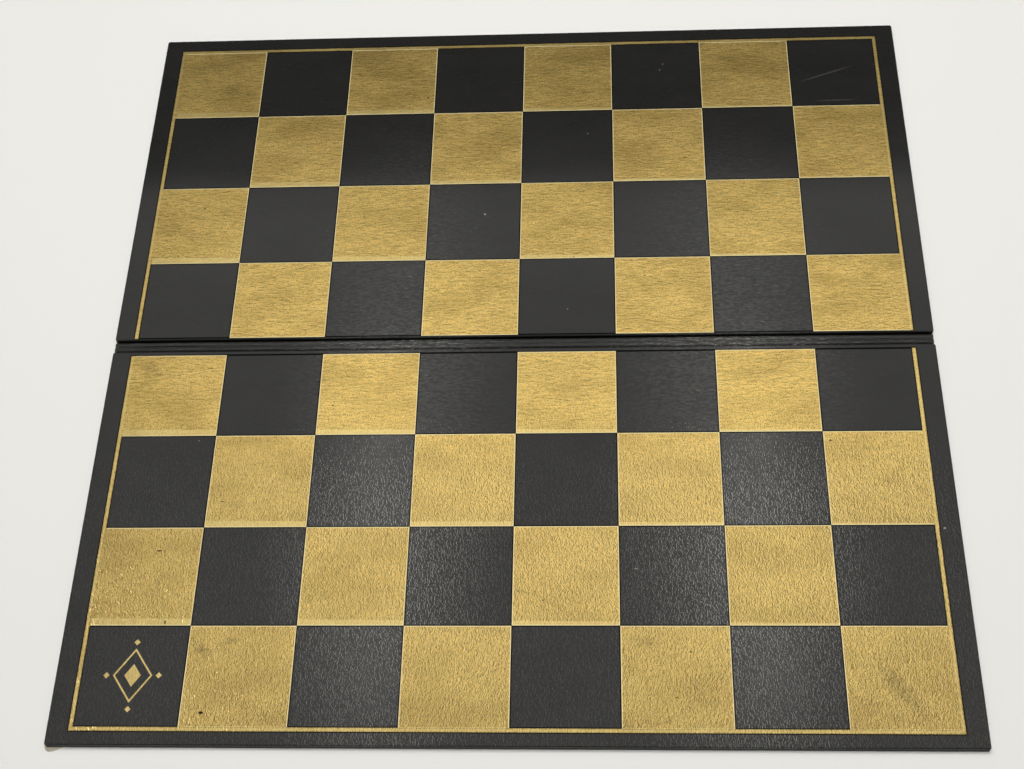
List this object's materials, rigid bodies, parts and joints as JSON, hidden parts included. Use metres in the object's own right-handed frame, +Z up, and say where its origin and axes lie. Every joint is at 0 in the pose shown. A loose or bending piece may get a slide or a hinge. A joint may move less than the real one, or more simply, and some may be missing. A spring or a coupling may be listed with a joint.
{
  "type": "chess board",
  "caption": "Flat folding chess board in black grained leatherette with gold foil squares and frame lines, on a cloth-backed hinge that closes it face to face.",
  "frame": {"origin": "under the middle of the hinge, at the level of the table the open board lies on", "axes": "+X to the player's right along the hinge, +Y away from the player towards the far half, +Z up"},
  "size_m": [0.454, 0.4526, 0.0039],
  "materials": {
    "greyboard": "raw board",
    "black_leatherette": "fine pebbled grain, low gloss",
    "gold_foil": "metallised stamping foil, satin gold over the grain",
    "lining_paper": "matt cream paper",
    "hinge_cloth": "black book cloth"
  },
  "bodies": {
    "near_half": {"near_board_panel": "greyboard", "near_cover": "black_leatherette", "near_lining_paper": "lining_paper", "near_hinge_flap": "hinge_cloth", "near_gold_frame": "gold_foil", "gold_corner_ornament": "gold_foil", "gold_square_a2": "gold_foil", "gold_square_a4": "gold_foil", "gold_square_b1": "gold_foil", "gold_square_b3": "gold_foil", "gold_square_c2": "gold_foil", "gold_square_c4": "gold_foil", "gold_square_d1": "gold_foil", "gold_square_d3": "gold_foil", "gold_square_e2": "gold_foil", "gold_square_e4": "gold_foil", "gold_square_f1": "gold_foil", "gold_square_f3": "gold_foil", "gold_square_g2": "gold_foil", "gold_square_g4": "gold_foil", "gold_square_h1": "gold_foil", "gold_square_h3": "gold_foil"},
    "hinge": {"hinge_backing": "hinge_cloth", "hinge_strip": "black_leatherette"},
    "far_half": {"far_board_panel": "greyboard", "far_cover": "black_leatherette", "far_lining_paper": "lining_paper", "far_hinge_flap": "hinge_cloth", "far_gold_frame": "gold_foil", "gold_square_a6": "gold_foil", "gold_square_a8": "gold_foil", "gold_square_b5": "gold_foil", "gold_square_b7": "gold_foil", "gold_square_c6": "gold_foil", "gold_square_c8": "gold_foil", "gold_square_d5": "gold_foil", "gold_square_d7": "gold_foil", "gold_square_e6": "gold_foil", "gold_square_e8": "gold_foil", "gold_square_f5": "gold_foil", "gold_square_f7": "gold_foil", "gold_square_g6": "gold_foil", "gold_square_g8": "gold_foil", "gold_square_h5": "gold_foil", "gold_square_h7": "gold_foil"}
  },
  "joints": [
    {"name": "near_fold", "type": "hinge", "parent": "near_half", "child": "hinge", "pos_m": [0, -0.0038, 0.0016], "axis": [1, 0, 0], "range_deg": [0, 90]},
    {"name": "far_fold", "type": "hinge", "parent": "hinge", "child": "far_half", "pos_m": [0, 0.0038, 0.0016], "axis": [1, 0, 0], "range_deg": [0, 90]}
  ]
}
